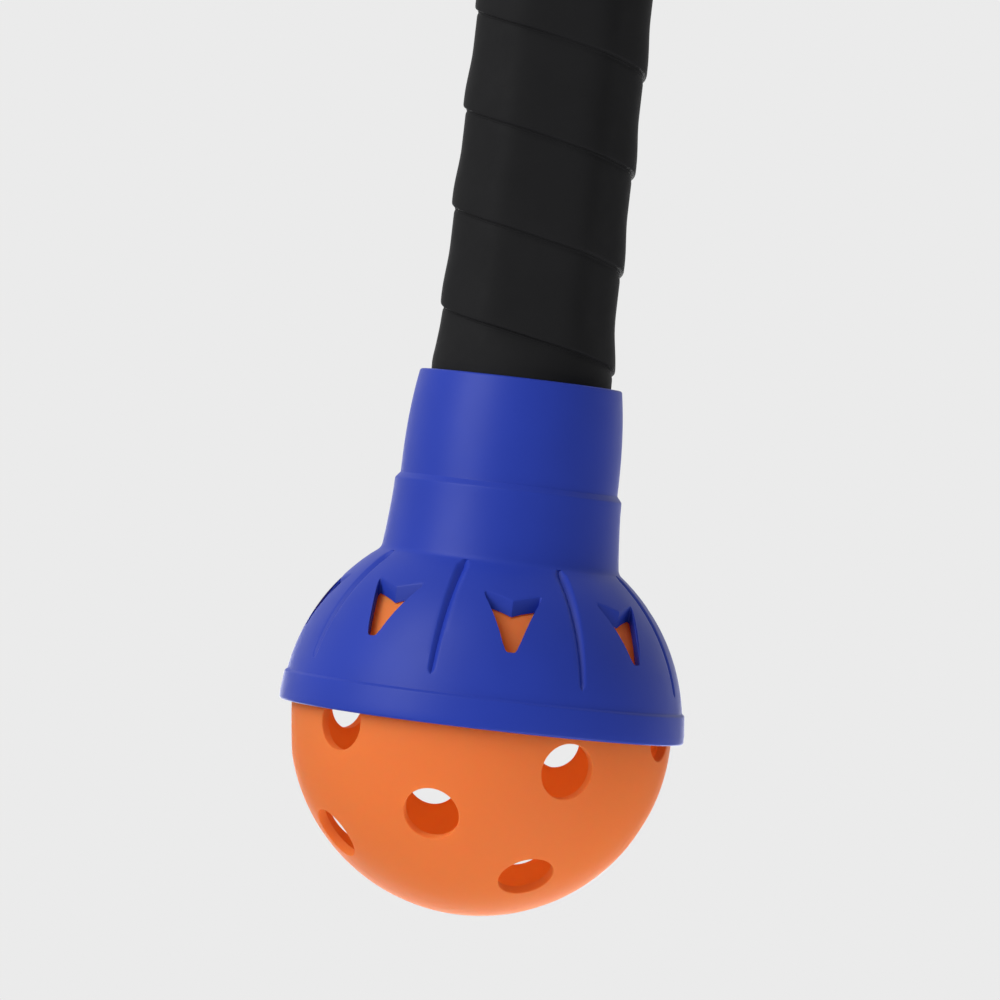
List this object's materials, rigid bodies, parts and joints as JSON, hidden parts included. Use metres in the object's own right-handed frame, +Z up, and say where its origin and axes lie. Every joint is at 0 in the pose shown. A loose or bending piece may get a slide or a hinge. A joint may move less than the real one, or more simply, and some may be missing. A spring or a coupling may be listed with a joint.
{
  "type": "suction cup ball retriever",
  "caption": "Silicone suction cup on the butt of a wrapped paddle handle, gripping a perforated ball in its windowed bell; cup and ball both pull off.",
  "frame": {"origin": "centre of the flat upper end of the handle's stem, where a paddle blade goes on", "axes": "+Z up along the common axis of handle, cup and ball; -Y is the front"},
  "size_m": [0.0798, 0.0798, 0.2095],
  "materials": {
    "honeycomb_core": "cut polymer core",
    "face_sheet": "laminated composite sheet",
    "pallet_foam": "moulded foam",
    "butt_cap_plastic": "moulded plastic",
    "staple_steel": "drawn wire",
    "base_grip_foam": "cushioned grip",
    "overgrip_tape": "matte tacky tape",
    "finishing_tape_vinyl": "vinyl tape",
    "cup_silicone": "satin moulded silicone",
    "ball_plastic": "matte moulded plastic"
  },
  "bodies": {
    "handle": {"stem_core": "honeycomb_core", "front_face_sheet": "face_sheet", "back_face_sheet": "face_sheet", "front_pallet": "pallet_foam", "back_pallet": "pallet_foam", "butt_cap": "butt_cap_plastic", "front_staple": "staple_steel", "back_staple": "staple_steel", "base_grip": "base_grip_foam", "overgrip": "overgrip_tape", "finishing_tape": "finishing_tape_vinyl"},
    "cup": {"retriever_cup": "cup_silicone"},
    "ball": {"ball_upper_half": "ball_plastic", "ball_lower_half": "ball_plastic"}
  },
  "joints": [
    {"name": "cup_pull_off", "type": "slide", "parent": "handle", "child": "cup", "axis": [0, 0, -1], "range_m": [0, 0.03]},
    {"name": "ball_pull_out", "type": "slide", "parent": "cup", "child": "ball", "axis": [0, 0, -1], "range_m": [0, 0.04]}
  ]
}
